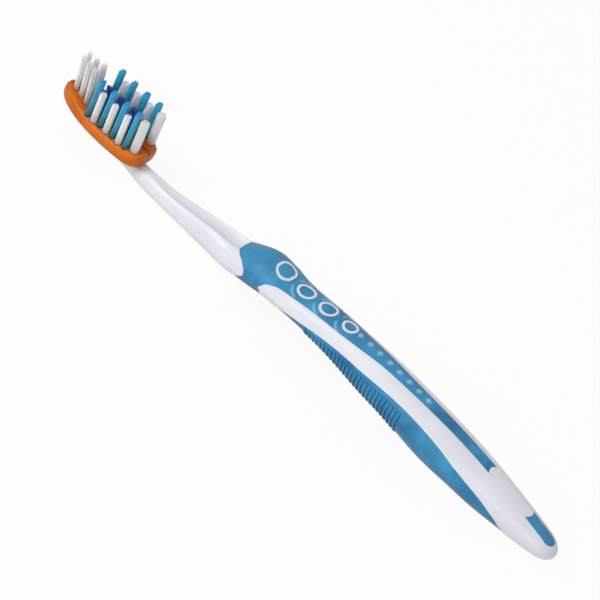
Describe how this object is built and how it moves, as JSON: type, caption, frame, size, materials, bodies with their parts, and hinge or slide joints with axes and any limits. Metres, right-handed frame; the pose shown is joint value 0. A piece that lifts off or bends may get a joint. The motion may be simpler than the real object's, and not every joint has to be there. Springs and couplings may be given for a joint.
{
  "type": "manual toothbrush",
  "caption": "Adult manual toothbrush with a curved two-shot handle, soft ribbed grip and a head in two flexing halves with leaning bristle tufts.",
  "frame": {"origin": "under the middle of the brush's length, on the surface that it lies on, back down", "axes": "+X along the brush towards the toe of the head, +Z out of the bristle side, +Y to the left side"},
  "size_m": [0.1902, 0.0156, 0.0232],
  "materials": {
    "core_white": "glossy white moulded polypropylene",
    "grip_blue": "satin blue soft-touch elastomer",
    "flex_orange": "satin orange moulded plastic",
    "hinge_rubber": "soft orange elastomer",
    "bristle_white": "clear white nylon filament",
    "bristle_teal": "teal nylon filament",
    "bristle_dark_blue": "dark blue nylon filament",
    "anchor_metal": "bright brass wire"
  },
  "bodies": {
    "handle": {"end_strip": "grip_blue", "flex_hinge_left": "hinge_rubber", "flex_hinge_right": "hinge_rubber", "grip_sleeve": "grip_blue", "handle_core": "core_white", "ring_inserts": "grip_blue"},
    "flex_left": {"anchor_staples_left": "anchor_metal", "centre_tuft_1_left": "bristle_dark_blue", "centre_tuft_2_left": "bristle_dark_blue", "centre_tuft_3_left": "bristle_dark_blue", "edge_tuft_1_left": "bristle_white", "edge_tuft_2_left": "bristle_white", "edge_tuft_3_left": "bristle_white", "flex_side_left": "flex_orange", "heel_tuft_left": "bristle_white", "teal_tuft_1_left": "bristle_teal", "teal_tuft_2_left": "bristle_teal", "teal_tuft_3_left": "bristle_teal", "teal_tuft_4_left": "bristle_teal", "toe_tuft_1_left": "bristle_white", "toe_tuft_2_left": "bristle_white", "toe_tuft_3_left": "bristle_white"},
    "flex_right": {"anchor_staples_right": "anchor_metal", "centre_tuft_1_right": "bristle_dark_blue", "centre_tuft_2_right": "bristle_dark_blue", "centre_tuft_3_right": "bristle_dark_blue", "edge_tuft_1_right": "bristle_white", "edge_tuft_2_right": "bristle_white", "edge_tuft_3_right": "bristle_white", "flex_side_right": "flex_orange", "heel_tuft_right": "bristle_white", "teal_tuft_1_right": "bristle_teal", "teal_tuft_2_right": "bristle_teal", "teal_tuft_3_right": "bristle_teal", "teal_tuft_4_right": "bristle_teal", "toe_tuft_1_right": "bristle_white", "toe_tuft_2_right": "bristle_white", "toe_tuft_3_right": "bristle_white"}
  },
  "joints": [
    {"name": "left_flex", "type": "hinge", "parent": "handle", "child": "flex_left", "pos_m": [0.0815, 0.0014, 0.0063], "axis": [-1, 0, 0], "range_deg": [-1.5, 8], "stiffness_Nm_per_rad": 0.06},
    {"name": "right_flex", "type": "hinge", "parent": "handle", "child": "flex_right", "pos_m": [0.0815, -0.0014, 0.0063], "axis": [1, 0, 0], "range_deg": [-1.5, 8], "stiffness_Nm_per_rad": 0.06}
  ]
}
